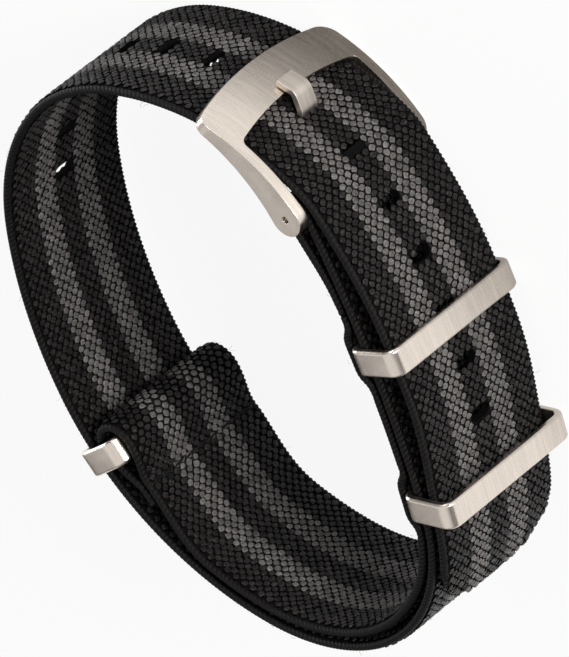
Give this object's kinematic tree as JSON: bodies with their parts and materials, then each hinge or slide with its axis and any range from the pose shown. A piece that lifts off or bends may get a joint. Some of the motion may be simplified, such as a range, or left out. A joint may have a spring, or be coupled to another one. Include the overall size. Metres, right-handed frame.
{
  "type": "watch strap",
  "caption": "Striped elastic nylon watch strap, fastened into a loop, with a keeper flap, a sprung pin buckle and brushed steel keepers.",
  "frame": {"origin": "centre of the fastened loop's bounding box, at the lower arm of the buckle", "axes": "+Z across the strap's width, +X along the loop's longer side, the buckle at -Y"},
  "size_m": [0.0756, 0.0696, 0.0224],
  "materials": {
    "webbing": "woven elastic nylon, black with two grey stripes",
    "thread": "black polyester sewing thread",
    "hardware_steel": "brushed stainless steel with polished bevels",
    "tongue_steel": "finely brushed stainless steel",
    "bar_steel": "bright drawn stainless steel"
  },
  "bodies": {
    "strap": {"main_band": "webbing", "keeper_flap": "webbing", "spring_bar_tube": "bar_steel", "spring_bar_spring": "bar_steel", "stitch_row_1": "thread", "stitch_row_2": "thread", "stitch_row_3": "thread", "stitch_row_4": "thread", "stitch_row_5": "thread"},
    "buckle": {"buckle_frame": "hardware_steel"},
    "tongue": {"buckle_tongue": "tongue_steel"},
    "upper_pin": {"end_pin_upper": "bar_steel"},
    "lower_pin": {"end_pin_lower": "bar_steel"},
    "keeper_by_buckle": {"keeper_1": "hardware_steel"},
    "keeper_middle": {"keeper_2": "hardware_steel"},
    "keeper_on_flap": {"keeper_3": "hardware_steel"}
  },
  "joints": [
    {"name": "buckle_swing", "type": "hinge", "parent": "strap", "child": "buckle", "pos_m": [0.0094, -0.03114, 0.0112], "axis": [0, 0, -1], "range_deg": [0, 3]},
    {"name": "tongue_swing", "type": "hinge", "parent": "buckle", "child": "tongue", "pos_m": [0.0094, -0.03114, 0.0112], "axis": [0, 0, -1], "range_deg": [0, 4]},
    {"name": "upper_pin_press", "type": "slide", "parent": "strap", "child": "upper_pin", "axis": [0, 0, -1], "range_m": [0, 0.00175], "stiffness_N_per_m": 700, "springref_m": -0.002, "deforming": ["spring_bar_spring"]},
    {"name": "lower_pin_press", "type": "slide", "parent": "strap", "child": "lower_pin", "axis": [0, 0, 1], "range_m": [0, 0.00175], "stiffness_N_per_m": 700, "springref_m": -0.002, "deforming": ["spring_bar_spring"]},
    {"name": "keeper_1_tilt", "type": "hinge", "parent": "strap", "child": "keeper_by_buckle", "pos_m": [-0.00819, -0.02357, 0.0112], "axis": [0, 0, 1], "range_deg": [-3, 3]},
    {"name": "keeper_2_tilt", "type": "hinge", "parent": "strap", "child": "keeper_middle", "pos_m": [-0.02505, -0.01356, 0.0112], "axis": [0, 0, 1], "range_deg": [-3, 3]},
    {"name": "keeper_3_tilt", "type": "hinge", "parent": "strap", "child": "keeper_on_flap", "pos_m": [0.00063, 0.02748, 0.0112], "axis": [0, 0, 1], "range_deg": [-5, 5]}
  ]
}
